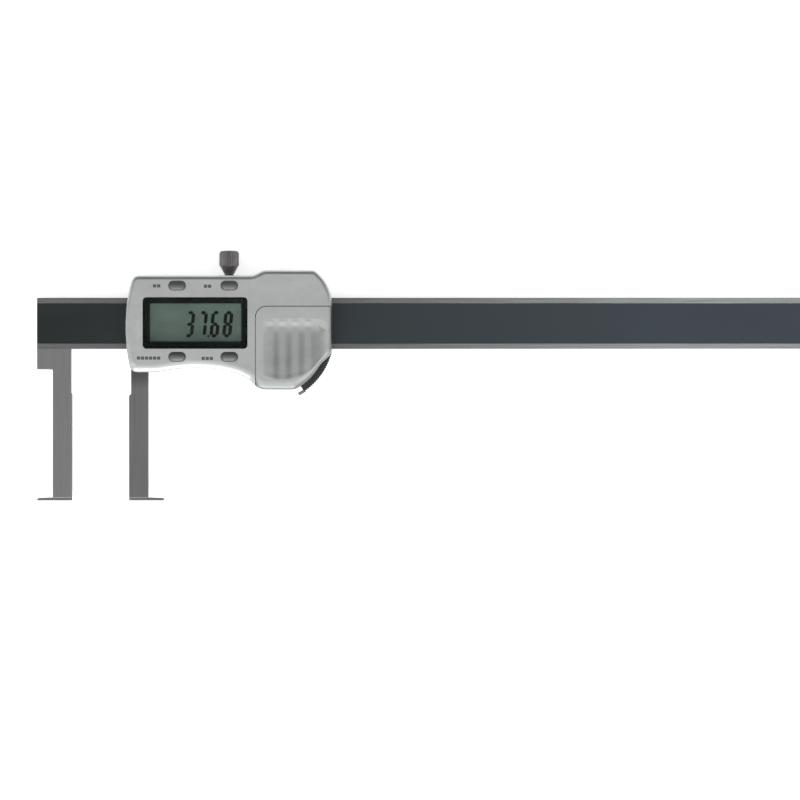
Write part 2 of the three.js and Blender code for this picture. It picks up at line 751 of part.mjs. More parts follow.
add(beamGroup, "beam", makeBeam(), steel);
add(beamGroup, "scale_board", makeScaleBoard(), boardGreen);
add(beamGroup, "scale_film", makeScaleFilm(), blackFilm);
add(beamGroup, "fixed_jaw", makeFixedJaw(), jawSteel);
const fixedTip = add(beamGroup, "fixed_jaw_tip", makeTip(), jawSteel);
fixedTip.position.set(FIXED_LEG_AT + JAW_WIDTH, -JAW_REACH, BEAM_Z[0] + BEAM_Z[1]);
fixedTip.rotation.y = Math.PI;
add(beamGroup, "end_stop", makeEndStop(), steel);
STOP_SCREW_X.forEach((x, i) => {
  const screw = makeScrew(STOP_SCREW_LENGTH);
  add(beamGroup, `end_stop_screw_${i + 1}`, screw, darkSteel, [x, 0, 0]);
});

add(sliderGroup, "slider_frame", makeFrame(), steel);
add(sliderGroup, "sliding_jaw", makeSlidingJaw(), jawSteel);
add(sliderGroup, "sliding_jaw_tip", makeTip(), jawSteel, [SLIDING_LEG_AT, -JAW_REACH, 0]);
add(sliderGroup, "back_plate", makeBackPlate(), steel);
CASE_SCREWS.forEach(([x, y], i) => {
  const screw = makeScrew(CASE_SCREW_LENGTH);
  add(sliderGroup, `case_screw_${i + 1}`, screw, darkSteel, [x, y, 0]);
});
add(sliderGroup, "gib_strip", block(GIB.x, GIB.y, GIB.z), bronze);
GIB_SCREW.x.forEach((x, i) => {
  const place = [x, GIB.y[1] + 0.1, RAIL_MID_Z];
  add(sliderGroup, `gib_screw_${i + 1}`, makeGibScrew(), darkSteel, place);
});
add(sliderGroup, "lock_screw", makeLockScrew(), darkSteel, [LOCK_AT, 0, RAIL_MID_Z]);
add(sliderGroup, "thumb_rest", makeThumbRest(), gripDark);

add(sliderGroup, "front_housing", makeHousing(), satinSilver);
add(sliderGroup, "battery_cover", makeBatteryCover(), satinSilver);
add(sliderGroup, "main_board", makeBoard(), boardGreen);
add(sliderGroup, "chip_cover", makeChipCover(), rubber);
eachButton((x, y, index) => {
  add(sliderGroup, `button_${index}`, makeButton(), satinSilver, [x, y, 0]);
  add(sliderGroup, `snap_dome_${index}`, makeSnapDome(), springSteel, [x, y, 0]);
});
add(sliderGroup, "display_holder", makeDisplayHolder(), greyPlastic);
add(sliderGroup, "contact_strip_1", makeContactStrip(STRIP.y), rubber);
add(sliderGroup, "contact_strip_2", makeContactStrip([-STRIP.y[1], -STRIP.y[0]]), rubber);
add(sliderGroup, "display_glass", block(GLASS.x, GLASS.y, GLASS.z), displayGrey);
add(sliderGroup, "display_window", makeWindow(), blackPlastic);

add(sliderGroup, "battery_tray", makeBatteryTray(), greyPlastic);
add(sliderGroup, "battery", makeBattery(), springSteel);
add(sliderGroup, "battery_contact_negative", makeNegativeContact(), gold);
add(sliderGroup, "battery_contact_positive", makePositiveContact(), gold);

export default caliper;
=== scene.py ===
"""Looks of the digital inside-groove caliper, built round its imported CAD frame.

Outlines and heights are in millimetres, as in the CAD: beam pieces from the beam's jaw end, on its
centre line, and slider pieces from the slider's own left edge. place() puts them in the row frame.
"""

import json
import math

import bmesh
import bpy
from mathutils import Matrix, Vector


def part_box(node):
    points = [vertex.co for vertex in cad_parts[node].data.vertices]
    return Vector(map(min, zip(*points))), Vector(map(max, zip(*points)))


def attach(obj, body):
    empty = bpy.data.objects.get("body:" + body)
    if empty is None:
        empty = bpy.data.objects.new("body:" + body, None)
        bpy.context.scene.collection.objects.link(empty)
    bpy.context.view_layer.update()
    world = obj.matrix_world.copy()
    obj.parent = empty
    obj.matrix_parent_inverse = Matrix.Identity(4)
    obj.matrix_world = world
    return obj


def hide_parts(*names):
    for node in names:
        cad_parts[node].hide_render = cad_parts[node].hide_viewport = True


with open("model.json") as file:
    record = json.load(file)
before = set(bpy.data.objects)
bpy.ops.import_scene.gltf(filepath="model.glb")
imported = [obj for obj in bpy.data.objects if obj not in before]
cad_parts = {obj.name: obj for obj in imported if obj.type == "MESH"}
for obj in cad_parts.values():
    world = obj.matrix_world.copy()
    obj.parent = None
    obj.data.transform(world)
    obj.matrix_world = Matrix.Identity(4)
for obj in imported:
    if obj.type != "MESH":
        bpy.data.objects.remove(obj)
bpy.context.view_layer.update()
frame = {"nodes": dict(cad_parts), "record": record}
MM = 0.001

# ------------------------------------------------------------------ places from the frame

BEAM_LOW, BEAM_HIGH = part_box("beam")
CENTRE_Y = (BEAM_LOW.y + BEAM_HIGH.y) / 2
BEAM_ORIGIN = Vector((BEAM_LOW.x, CENTRE_Y, 0))
FIXED_LEG_INNER = 10.9  # the face of each leg towards the other
SLIDING_LEG_INNER = 0.7
SLIDER_ORIGIN = Vector((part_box("sliding_jaw")[0].x - SLIDING_LEG_INNER * MM, CENTRE_Y, 0))


def heights(node):
    """A CAD node's lowest and highest z, in millimetres."""
    low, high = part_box(node)
    return low.z / MM, high.z / MM


BEAM_Z = heights("beam")
JAW_END, HOOK_END = -54.4, -55.3
HOOK_Z = 2.0, 4.4
STOP_SCREW_X = 233.5, 241
FRAME_Z = heights("slider_frame")[0], 5.5
BRIDGE_Z = 5.15, 6.5  # the frame's post and deck, over the beam
RIM_TOP = 8.4  # the housing's low rim under the battery cover
FRONT_Z = 14.0
RAISED_Z = heights("front_housing")[1]
COVER_BOTTOM = heights("battery_cover")[0]
COVER_CEILING = 12.0
FRONT_CUT = 9, 20  # runs right through the front's wall
ABOVE = 40  # over everything
WALL = 1.4
TOP_Y, BUMP_Y, ARCH_Y, LEFT_BOTTOM_Y, GRIP_Y = 14.8, 16.4, -14.0, -15.3, -20.7
BUMP_X = (38.5, 44.0)
LENGTH = 64.1
WINDOW_X, WINDOW_Y, WINDOW_CORNER = (5.4, 37.95), (-8.0, 8.0), 1.2
VIEW_X, VIEW_Y = (7.5, 36.0), (-5.8, 6.1)
GLASS_X, GLASS_Y = (7.3, 36.1), (-7.4, 7.4)
COVER_LEFT, COVER_TOP, COVER_CORNER, SEAM = 40.4, 5.2, 3.4, 0.22
GRIP_X, GRIP_CENTRE_Y = 43.8, -4.0
GRIP_OUTER, GRIP_INNER, GRIP_ANGLES, TAB_ANGLES = 21.0, 18.6, (-13.5, -56), (-55, -61.5)
FRONT_GRIP_RADIUS, BASE_GRIP_RADIUS = 18.8, 18.4
CASE_SCREWS = ((4.4, 11.6), (4.4, -11.2), (59.3, 11.2), (43.0, -17.3))
BOSS_RADIUS, SCREW_RADIUS = 2.0, 0.9
BUTTON_AT = [(x, y) for y in (11.6, -10.5) for x in (16.1, 32.3)]
BUTTON_LENGTH, BUTTON_WIDTH, BUTTON_TOP, BUTTON_GAP = 5.3, 2.9, 14.75, 0.16
DISH_X, DISH_Y, DISH_RADIUS = 48.9, -2.4, 15.5
RIB_COUNT, RIB_AT, RIB_PITCH, RIB_TOP = 4, 44.9, 3.93, 0.9
LOCK_AT, LOCK_Z, GIB_SCREW_X = 31.9, 3.35, (13, 50)
BATTERY_X, BATTERY_Y = 50.9, -6.4


# ------------------------------------------------------------------ outlines


def smooth(t):
    """0 up to t = 0, 1 from t = 1, and an even ease between."""
    t = min(max(t, 0.0), 1.0)
    return t * t * (3 - 2 * t)


def arc(x, y, radius, start, end, steps=16):
    turn = [math.radians(start + (end - start) * i / steps) for i in range(steps + 1)]
    return [(x + radius * math.cos(a), y + radius * math.sin(a)) for a in turn]


def quadratic(a, b, c, steps=24):
    made = []
    for i in range(steps + 1):
        t = i / steps
        u = 1 - t
        made.append(tuple(u * u * a[k] + 2 * u * t * b[k] + t * t * c[k] for k in (0, 1)))
    return made


def cubic(a, b, c, d, steps=28):
    made = []
    for i in range(steps + 1):
        t = i / steps
        u = 1 - t
        parts = (u**3, 3 * u * u * t, 3 * u * t * t, t**3)
        made.append(tuple(sum(w * p[k] for w, p in zip(parts, (a, b, c, d))) for k in (0, 1)))
    return made


def cleaned(points, least=0.03):
    """No doubled points, anticlockwise."""
    kept = []
    for p in points:
        if not kept or math.dist(p, kept[-1]) > least:
            kept.append(p)
    if math.dist(kept[0], kept[-1]) <= least:
        kept.pop()
    area = sum(a[0] * b[1] - b[0] * a[1] for a, b in zip(kept, kept[1:] + kept[:1]))
    return kept if area > 0 else kept[::-1]


def start_outline():
    """Bottom, left and top edges that the slider's base and front share."""
    low = LEFT_BOTTOM_Y
    points = quadratic((44, GRIP_Y), (41.3, GRIP_Y), (39.5, -18.7), 12)
    points += cubic((39.5, -18.7), (36.4, -15.3), (28.5, ARCH_Y), (22, ARCH_Y))
    points += cubic((22, ARCH_Y), (15, ARCH_Y), (12.5, low + 0.2), (8.6, low))
    points += quadratic((3.9, low), (1.8, low), (1.25, -13.1), 10)
    points += quadratic((1.25, -13.1), (-1.7, 0), (1.75, 12.6), 30)
    points += quadratic((1.75, 12.6), (2.3, TOP_Y), (4.2, TOP_Y), 10)
    points += cubic((BUMP_X[0], TOP_Y), (41, TOP_Y), (41.6, BUMP_Y), (BUMP_X[1], BUMP_Y), 16)
    points += quadratic((57.8, BUMP_Y), (58.95, BUMP_Y), (59.7, 15.55), 8)
    return points + arc(51.2, 5.85, 12.9, 48.8, 0, 24)


def front_outline():
    """The silhouette of the slider's front, battery cover included."""
    grip = arc(GRIP_X, GRIP_CENTRE_Y, FRONT_GRIP_RADIUS, -32, -60, 20)
    points = start_outline()
    points += cubic((LENGTH, -7.8), (LENGTH, -10.6), (61.6, -11), grip[0], 18) + grip
    return cleaned(points + quadratic(grip[-1], (52.5, GRIP_Y), (51, GRIP_Y), 8))


def base_outline():
    """The slider's silhouette below its front, with room for the thumb rest."""
    grip = arc(GRIP_X, GRIP_CENTRE_Y, BASE_GRIP_RADIUS, -12.5, -62, 30)
    return cleaned(start_outline() + [(LENGTH, grip[0][1])] + grip + [(44.5, GRIP_Y + 0.3)])


def rounded(x, y, radius, steps=10):
    points = []
    corners = ((x[1], y[1], 0), (x[0], y[1], 90), (x[0], y[0], 180), (x[1], y[0], 270))
    for cx, cy, start in corners:
        inward_x = cx - radius if cx == x[1] else cx + radius
        inward_y = cy - radius if cy == y[1] else cy + radius
        points += arc(inward_x, inward_y, radius, start, start + 90, steps)
    return cleaned(points, 0.005)


def stadium(length, width, x=0.0, y=0.0, steps=16):
    half = (length - width) / 2
    points = arc(x + half, y, width / 2, -90, 90, steps)
    return cleaned(points + arc(x - half, y, width / 2, 90, 270, steps), 0.005)


def cover_field(grow):
    """The battery cover's part of the front, reaching past the silhouette on two sides."""
    left, top, radius = COVER_LEFT - grow, COVER_TOP + grow, COVER_CORNER + grow
    points = [(LENGTH + 9, GRIP_Y - 9), (LENGTH + 9, top)]
    points += arc(left + radius, top - radius, radius, 90, 180, 14)
    return cleaned(points + [(left, GRIP_Y - 9)])


def leans(points):
    """For each point of an outline, the step inwards that moves both its edges by 1."""
    count = len(points)
    steps = []
    for i in range(count):
        before = Vector(points[i]) - Vector(points[i - 1])
        after = Vector(points[(i + 1) % count]) - Vector(points[i])
        before.normalize()
        after.normalize()
        normal = Vector((-before.y - after.y, before.x + after.x)).normalized()
        lean = max(normal.x * -after.y + normal.y * after.x, 0.5)
        steps.append(normal / lean)
    return steps


def shrunk(points, distance):
    """An outline moved inwards, point for point."""
    return [
        (p[0] + s.x * distance, p[1] + s.y * distance) for p, s in zip(points, leans(points))
    ]


def inset(points, distance):
    """An outline moved inwards; points that would cross over in a tight corner drop out."""

    def distance_from_outline(q):
        best = 1e9
        for a, b in zip(points, points[1:] + points[:1]):
            ax, ay = b[0] - a[0], b[1] - a[1]
            t = ((q[0] - a[0]) * ax + (q[1] - a[1]) * ay) / (ax * ax + ay * ay)
            t = min(max(t, 0), 1)
            best = min(best, math.dist(q, (a[0] + ax * t, a[1] + ay * t)))
        return best

    moved = shrunk(points, distance)
    return cleaned([q for q in moved if distance_from_outline(q) > abs(distance) - 0.02])


# ------------------------------------------------------------------ meshes


def mesh_object(name, points, faces):
    mesh = bpy.data.meshes.new(name)
    mesh.from_pydata([tuple(p) for p in points], [], faces)
    mesh.validate()
    made = bpy.data.objects.new(name, mesh)
    bpy.context.scene.collection.objects.link(made)
    return made


def loft(rings, name="loft"):
    """A closed solid through anticlockwise rings stacked upwards, with flat ends."""
    count = len(rings[0])
    points = [p for ring in rings for p in ring]
    faces = [list(range(count))[::-1]]
    for level in range(len(rings) - 1):
        low, high = level * count, (level + 1) * count
        for i in range(count):
            j = (i + 1) % count
            faces.append([low + i, low + j, high + j, high + i])
    top = (len(rings) - 1) * count
    faces.append([top + i for i in range(count)])
    return mesh_object(name, points, faces)


def at_height(points, z):
    return [(x, y, z) for x, y in points]


def prism(points, low, high):
    return loft([at_height(points, low), at_height(points, high)])


def block(x, y, z):
    return prism([(x[0], y[0]), (x[1], y[0]), (x[1], y[1]), (x[0], y[1])], *z)


def slab(points, low, high, reach, drop, steps=8, slope=1.0):
    """A prism whose upper edge is rounded: drop deep, and reach(point) wide in plan.

    slope runs from 1, a round edge, to 2, a straight one.
    """
    moves = leans(points)
    rings = [at_height(points, low)]
    for i in range(steps + 1):
        a = math.pi / 2 * i / steps
        z = high - drop + drop * math.sin(a) ** slope
        ring = []
        for p, s in zip(points, moves):
            distance = reach(p) * (1 - max(math.cos(a), 0) ** slope)
            ring.append((p[0] + s.x * distance, p[1] + s.y * distance, z))
        rings.append(ring)
    return loft(rings)


def plate(points, low, high, edge, steps=3):
    """A prism with its upper and lower edges rounded."""
    rings = []
    for i in range(2 * steps + 2):
        a = math.pi / 2 * (i if i <= steps else i - 1) / steps
        z = low + edge - edge * math.cos(a) if i <= steps else high - edge - edge * math.cos(a)
        rings.append(at_height(shrunk(points, edge * (1 - math.sin(a))), z))
    return loft(rings)


def eased(points, radius, steps=4):
    """An outline of straight sides with its corners rounded."""
    made = []
    for i, corner in enumerate(points):
        corner = Vector(corner)
        before = Vector(points[i - 1]) - corner
        after = Vector(points[(i + 1) % len(points)]) - corner
        cut_back = min(radius, before.length / 2.2, after.length / 2.2)
        start = corner + before.normalized() * cut_back
        end = corner + after.normalized() * cut_back
        made += quadratic(tuple(start), tuple(corner), tuple(end), steps)
    return cleaned(made, 0.01)


def prisms(outlines, low, high):
    """Several separate prisms in one mesh."""
    points, faces = [], []
    for outline in outlines:
        outline = cleaned(outline, 0.001)
        count, first = len(outline), len(points)
        points += at_height(outline, low) + at_height(outline, high)
        faces.append([first + i for i in range(count)][::-1])
        faces.append([first + count + i for i in range(count)])
        for i in range(count):
            a, b = first + i, first + (i + 1) % count
            faces.append([a, b, b + count, a + count])
    return mesh_object("prisms", points, faces)


def turned(profile, x=0.0, y=0.0, sides=48):
    """A profile of (radius, z) pairs from the bottom up, turned about a line along z."""
    rings = []
    for radius, z in profile:
        points = arc(x, y, max(radius, 0.001), 0, 360, sides)[:-1]
        rings.append(at_height(points, z))
    return loft(rings)


def rod(radius, low, high, x=0.0, y=0.0, sides=40):
    return turned([(radius, low), (radius, high)], x, y, sides)


def bake(made):
    """Applies an object's modifiers."""
    view = bpy.context.evaluated_depsgraph_get()
    view.update()
    mesh = bpy.data.meshes.new_from_object(made.evaluated_get(view))
    old = made.data
    made.modifiers.clear()
    made.data = mesh
    bpy.data.meshes.remove(old)
    return made


def combine(base, tool, operation):
    """base joined to, or cut by, tool, which is used up."""
    step = base.modifiers.new("combine", "BOOLEAN")
    step.object = tool
    step.operation = operation
    step.solver = "EXACT"
    bpy.context.view_layer.update()
    bake(base)
    bpy.data.objects.remove(tool)
    return base


def cut(base, *tools):
    for tool in tools:
        combine(base, tool, "DIFFERENCE")
    return base


def join(base, *tools):
    for tool in tools:
        combine(base, tool, "UNION")
    return base


def turn_to_y(made, x, z):
    """Lays a solid that was turned about z along +Y, at x and z."""
    for v in made.data.vertices:
        px, py, pz = v.co
        v.co = (x + px, pz, z - py)
    return made


def merged_flat(made, angle=1.0):
    """Welds a mesh's doubled points and clears the lines across its flat faces."""
    work = bmesh.new()
    work.from_mesh(made.data)
    bmesh.ops.remove_doubles(work, verts=work.verts, dist=1e-6)
    limit = math.radians(angle)
    bmesh.ops.dissolve_limit(
        work, angle_limit=limit, verts=work.verts, edges=work.edges, delimit={"NORMAL"}
    )
    work.to_mesh(made.data)
    work.free()
    return made


def soften(made, width, segments=2, angle=35):
    """Rounds every edge sharper than angle, in the mesh's own units."""
    step = made.modifiers.new("edges", "BEVEL")
    step.width = width
    step.segments = segments
    step.limit_method = "ANGLE"
    step.angle_limit = math.radians(angle)
    step.use_clamp_overlap = True
    return bake(made)


def shade(made, angle=40):
    """Smooth shading that stays crisp at edges sharper than angle."""
    for polygon in made.data.polygons:
        polygon.use_smooth = True
    made.data.set_sharp_from_angle(angle=math.radians(angle))
    step = made.modifiers.new("normals", "WEIGHTED_NORMAL")
    step.keep_sharp = True
    step.weight = 60
    return bake(made)


def place(made, origin):
    """Moves a mesh in millimetres to its place in the row frame."""
    for v in made.data.vertices:
        v.co = v.co * MM + origin
    made.data.update()
    return made


def finish_piece(made, name, body, surface, nodes=(), angle=40):
    """Shades and names a piece, gives it its material and body, and hides what it replaces."""
    shade(made, angle)
    made.name = name
    made.data.name = name
    made.data.materials.clear()
    made.data.materials.append(surface.material)
    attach(made, body)
    if nodes:
        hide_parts(*nodes)
    return made


def cad_copy(node):
    """A copy of a CAD node's mesh as a new object, in millimetres."""
    made = frame["nodes"][node].copy()
    made.data = frame["nodes"][node].data.copy()
    made.parent = None
    for key in list(made.keys()):
        del made[key]
    bpy.context.scene.collection.objects.link(made)
    for v in made.data.vertices:
        v.co = v.co / MM
    return merged_flat(made)


BODY_OF = {n: b for b, ns in frame["record"]["behaviour"]["bodies"].items() for n in ns}


def machined(node, surface, edge, segments=2, angle=35):
    """A finer piece in place of a CAD node: the same shape with its edges rounded."""
    made = soften(cad_copy(node), edge, segments, angle)
    place(made, Vector())
    return finish_piece(made, node + "_fine", BODY_OF[node], surface, [node])


# ------------------------------------------------------------------ materials


class Surface:
    """A Principled material and a short way to add nodes to it."""

    def __init__(self, name, color, roughness, metallic=0.0, **values):
        self.material = bpy.data.materials.new(name)
        self.material.use_nodes = True
        self.tree = self.material.node_tree
        self.shader = self.tree.nodes["Principled BSDF"]
        self.set("Base Color", (*color, 1))
        self.set("Roughness", roughness)
        self.set("Metallic", metallic)
        for key, value in values.items():
            self.set(key.replace("_", " "), value)
        self.height = None

    def set(self, socket, value):
        self.shader.inputs[socket].default_value = value

    def node(self, kind, **values):
        made = self.tree.nodes.new("ShaderNode" + kind)
        for key, value in values.items():
            if key in made.inputs:
                made.inputs[key].default_value = value
            else:
                setattr(made, key, value)
        return made

    def link(self, output, target):
        self.tree.links.new(output, target)

    def noise(self, stretch, detail=3.0, rough=0.55):
        """Noise over the row frame; stretch is its scale along x, y and z, per metre."""
        place_node = self.node("TexCoord")
        turn = self.node("Mapping")
        turn.inputs["Scale"].default_value = stretch
        made = self.node("TexNoise")
        made.inputs["Scale"].default_value = 1.0
        made.inputs["Detail"].default_value = detail
        made.inputs["Roughness"].default_value = rough
        self.link(place_node.outputs["Object"], turn.inputs["Vector"])
        self.link(turn.outputs["Vector"], made.inputs["Vector"])
        return made.outputs["Fac"]

    def spread(self, output, low, high, new_low, new_high):
        made = self.node("MapRange")
        self.link(output, made.inputs["Value"])
        limits = (("From Min", low), ("From Max", high), ("To Min", new_low), ("To Max", new_high))
        for key, value in limits:
            made.inputs[key].default_value = value
        return made.outputs["Result"]

    def along(self, axis):
        """The object's own X, Y or Z, in metres."""
        coords, parts = self.node("TexCoord"), self.node("SeparateXYZ")
        self.link(coords.outputs["Object"], parts.inputs[0])
        return parts.outputs[axis]

    def mix(self, factor, a, b, blend="MIX"):
        """Colour a to colour b; each is a colour or an output."""
        made = self.node("Mix", data_type="RGBA", blend_type=blend)
        if isinstance(factor, (int, float)):
            made.inputs[0].default_value = factor
        else:
            self.link(factor, made.inputs[0])
        for index, value in ((6, a), (7, b)):
            if isinstance(value, tuple):
                made.inputs[index].default_value = (*value, 1)
            else:
                self.link(value, made.inputs[index])
        return made.outputs[2]

    def color(self, output):
        self.link(output, self.shader.inputs["Base Color"])

    def roughness(self, output):
        self.link(output, self.shader.inputs["Roughness"])

    def bump(self, output, depth, strength=1.0):
        """Adds a height, depth millimetres from trough to crest."""
        made = self.node("Bump")
        made.inputs["Distance"].default_value = depth * MM
        made.inputs["Strength"].default_value = strength
        self.link(output, made.inputs["Height"])
        if self.height:
            self.link(self.height, made.inputs["Normal"])
        self.height = made.outputs["Normal"]
        self.link(self.height, self.shader.inputs["Normal"])


def brushed(name, color, roughness, grain, wear=0.35):
    """Ground steel. grain is the noise scale along x, y and z: small along the grinding."""
    made = Surface(name, color, roughness, 1.0)
    lines = made.noise(grain, 4.0, 0.6)
    cloud = made.noise((60, 60, 60), 3.0)
    darker = tuple(c * (1 - wear) for c in color)
    lighter = tuple(min(c * (1 + wear * 0.6), 1) for c in color)
    streaks = made.mix(made.spread(lines, 0.35, 0.65, 0, 1), darker, lighter)
    made.base = made.mix(made.spread(cloud, 0.3, 0.7, 0, 0.35), streaks, color)
    made.color(made.base)
    made.roughness(made.spread(lines, 0.3, 0.7, roughness - 0.08, roughness + 0.12))
    made.bump(lines, 0.004, 0.6)
    return made


def satin(name, color, roughness, grain_per_m=9000, depth=0.002):
    """Satin-chromed casting: a fine even grain with faint handling marks."""
    made = Surface(name, color, roughness, 1.0)
    grain = made.noise((grain_per_m,) * 3, 2.0)
    marks = made.noise((90, 160, 120), 5.0, 0.65)
    dull = tuple(c * 0.86 for c in color)
    made.base = made.mix(made.spread(marks, 0.35, 0.7, 0, 1), color, dull)
    made.color(made.base)
    made.roughness(made.spread(marks, 0.3, 0.7, roughness - 0.04, roughness + 0.08))
    made.bump(grain, depth, 0.5)
    return made


def moulded(name, color, roughness, grain_per_m=4000, depth=0.01, **values):
    """Moulded plastic or rubber with a fine texture."""
    made = Surface(name, color, roughness, **values)
    grain = made.noise((grain_per_m,) * 3, 3.0)
    cloud = made.noise((150, 150, 150), 3.0)
    lighter = tuple(min(c * 1.5 + 0.01, 1) for c in color)
    made.color(made.mix(made.spread(cloud, 0.35, 0.7, 0, 0.6), color, lighter))
    made.roughness(made.spread(grain, 0.3, 0.7, roughness - 0.06, roughness + 0.08))
    made.bump(grain, depth, 0.5)
    return made


def film():
    """Dark scale film, finely rubbed along it, with a painted reflection that makes it bluish and
    paler towards the beam's free end.
    """
    near, far = (0.009, 0.0125, 0.0118), (0.041, 0.054, 0.066)
    made = Surface("scale_film_face", near, 0.34, Specular_IOR_Level=0.25)
    rubs = made.noise((25, 6000, 6000), 4.0, 0.6)
    cloud = made.noise((22, 70, 70), 3.0)
    start = BEAM_ORIGIN.x
    # Painted reflection: the colour ramps from the dark near tone to the paler, bluish far tone
    # along the beam.
    painted_reflection_ramp = made.mix(made.spread(made.along("X"), start, start + 0.2, 0, 1), near, far)
    tone = made.mix(made.spread(cloud, 0.3, 0.7, 0, 0.3), painted_reflection_ramp, (0.029, 0.033, 0.036))
    made.color(made.mix(made.spread(rubs, 0.58, 0.78, 0, 0.3), tone, (0.05, 0.058, 0.065)))
    made.roughness(made.spread(rubs, 0.35, 0.75, 0.3, 0.44))
    made.bump(rubs, 0.002, 0.4)
    return made


def clear_pane():
    """Clear window: what is behind shows through, with a gloss that grows at grazing angles."""
    made = Surface("window_pane", (1, 1, 1), 0.06)
    made.tree.nodes.remove(made.shader)
    see = made.node("BsdfTransparent", Color=(0.93, 0.96, 0.94, 1))
    gloss = made.node("BsdfGlossy", Color=(1, 1, 1, 1), Roughness=0.06)
    facing = made.node("LayerWeight", Blend=0.5)
    steep = made.node("Math", operation="POWER")
    steep.inputs[1].default_value = 5
    share = made.node("Math", operation="MULTIPLY_ADD")
    share.inputs[1].default_value = 0.6
    share.inputs[2].default_value = 0.004
    mix = made.node("MixShader")
    made.link(facing.outputs["Facing"], steep.inputs[0])
    made.link(steep.outputs[0], share.inputs[0])
    made.link(share.outputs[0], mix.inputs[0])
    made.link(see.outputs[0], mix.inputs[1])
    made.link(gloss.outputs[0], mix.inputs[2])
    made.link(mix.outputs[0], made.tree.nodes["Material Output"].inputs["Surface"])
    return made


def panel():
    """Liquid-crystal panel: grey-green reflective back with a slight unevenness."""
    color = (0.118, 0.145, 0.135)
    made = Surface("display_panel", color, 0.5, Specular_IOR_Level=0.15)
    cloud = made.noise((110, 180, 100), 3.0)
    grain = made.noise((16000,) * 3, 1.0)
    tone = made.mix(made.spread(cloud, 0.3, 0.7, 0, 1), color, (0.15, 0.185, 0.17))
    made.color(made.mix(made.spread(grain, 0.2, 0.8, 0, 0.15), tone, (0.09, 0.12, 0.11)))
    return made


def painted_light_along_beam(made, factor):
    """Ground steel with painted light that makes it paler towards the beam's free end."""
    start = BEAM_ORIGIN.x
    part = made.spread(made.along("X"), start + 0.1, start + 0.2, 0, 1)
    painted_paler = made.mix(1.0, made.base, (factor,) * 3, "MULTIPLY")
    made.color(made.mix(part, made.base, painted_paler))
    return made


def shaded_under_slider(made, y_low, y_high):
    """Ground steel with painted shade, darker towards y_high, where the slider overhangs the leg.
    """
    part = made.spread(made.along("Y"), y_low, y_high, 0, 0.55)
    made.color(made.mix(part, made.base, (0.03, 0.03, 0.03)))
    return made


def shaded_in_hollow(made, z_low, z_high, y_low, y_high):
    """Satin chrome with painted shade in a hollow, darkest at the hollow's low end."""
    deep = made.spread(made.along("Z"), z_low, z_high, 1, 0)
    low = made.spread(made.along("Y"), y_low, y_high, 0.82, 0.52)
    part = made.node("Math", operation="MULTIPLY")
    made.link(deep, part.inputs[0])
    made.link(low, part.inputs[1])
    made.color(made.mix(part.outputs[0], made.base, (0.12, 0.128, 0.125)))
    return made


ALONG_BEAM = (40, 5000, 5000)
ALONG_LEG = (5000, 40, 5000)
# Ranges in metres: y over the top of the sliding leg, where the slider's shade is painted; z and y
# over the thumb hollow.
JAW_SHADE_Y = CENTRE_Y - 0.0205, CENTRE_Y - 0.0165
HOLLOW_Z = (RAISED_Z - 0.5) * MM, (RAISED_Z - 0.05) * MM
HOLLOW_Y = CENTRE_Y - 0.0165, CENTRE_Y - 0.004
# Painted light: the beam's steel is painted paler towards its free end.
beam_steel = painted_light_along_beam(
    brushed("beam_ground_steel", (0.165, 0.172, 0.172), 0.36, ALONG_BEAM), 2.3
)
jaw_steel = brushed("jaw_ground_steel", (0.225, 0.227, 0.224), 0.42, ALONG_LEG, 0.18)
# Painted shade: the sliding leg is painted darker towards its top, under the slider.
jaw_steel_dark = shaded_under_slider(
    brushed("jaw_ground_steel_dark", (0.183, 0.18, 0.18), 0.42, ALONG_LEG, 0.2), *JAW_SHADE_Y
)
tip_steel = brushed("hook_blade_steel", (0.2, 0.2, 0.2), 0.35, (40, 3000, 3000), 0.2)
frame_steel = brushed("frame_steel", (0.42, 0.425, 0.43), 0.38, ALONG_BEAM)
dark_steel = brushed("dark_steel", (0.10, 0.09, 0.09), 0.36, (3000, 3000, 300))
lock_steel = brushed("lock_screw_steel", (0.25, 0.235, 0.24), 0.36, (2500, 400, 2500))
spring_steel = brushed("spring_steel", (0.55, 0.55, 0.52), 0.28, (2500, 300, 2500))
bronze = brushed("gib_bronze", (0.42, 0.24, 0.09), 0.38, ALONG_BEAM)
gold = brushed("contact_gold", (0.72, 0.48, 0.18), 0.3, (300, 3000, 3000))
silver = satin("housing_satin", (0.50, 0.52, 0.51), 0.34)
# Painted shade: the cover's thumb hollow is painted darker, most of all towards its low end.
cover_silver = shaded_in_hollow(
    satin("cover_satin", (0.50, 0.52, 0.51), 0.34), *HOLLOW_Z, *HOLLOW_Y
)
# Painted shade: the buttons are the housing's satin silver, painted much darker to stand for the
# shade on their domed caps.
button_shaded_silver = satin("button_satin_painted_shade", (0.165, 0.168, 0.166), 0.55, 6000, 0.001)
battery_steel = satin("battery_steel", (0.60, 0.60, 0.58), 0.22, 5000, 0.002)
grip_black = moulded("thumb_rest_black", (0.012, 0.013, 0.013), 0.5)
tab_grey = moulded("thumb_rest_tab_grey", (0.16, 0.165, 0.165), 0.5)
inner_grey = moulded("inner_plastic", (0.08, 0.085, 0.085), 0.6)
rubber = moulded("contact_rubber", (0.02, 0.02, 0.02), 0.75)
board_green = moulded("circuit_board", (0.011, 0.055, 0.028), 0.4, 2500, 0.02)
UNDER_PANE = {"Specular_IOR_Level": 0.05}
mask_black = moulded("window_border", (0.002, 0.005, 0.004), 0.6, 6000, 0.002, **UNDER_PANE)
ink = moulded("panel_ink", (0.004, 0.007, 0.006), 0.6, 6000, 0.001, **UNDER_PANE)
print_grey = moulded("printed_marks", (0.065, 0.07, 0.068), 0.55, 6000, 0.002)
film_face = film()
pane_clear = clear_pane()
panel_grey = panel()


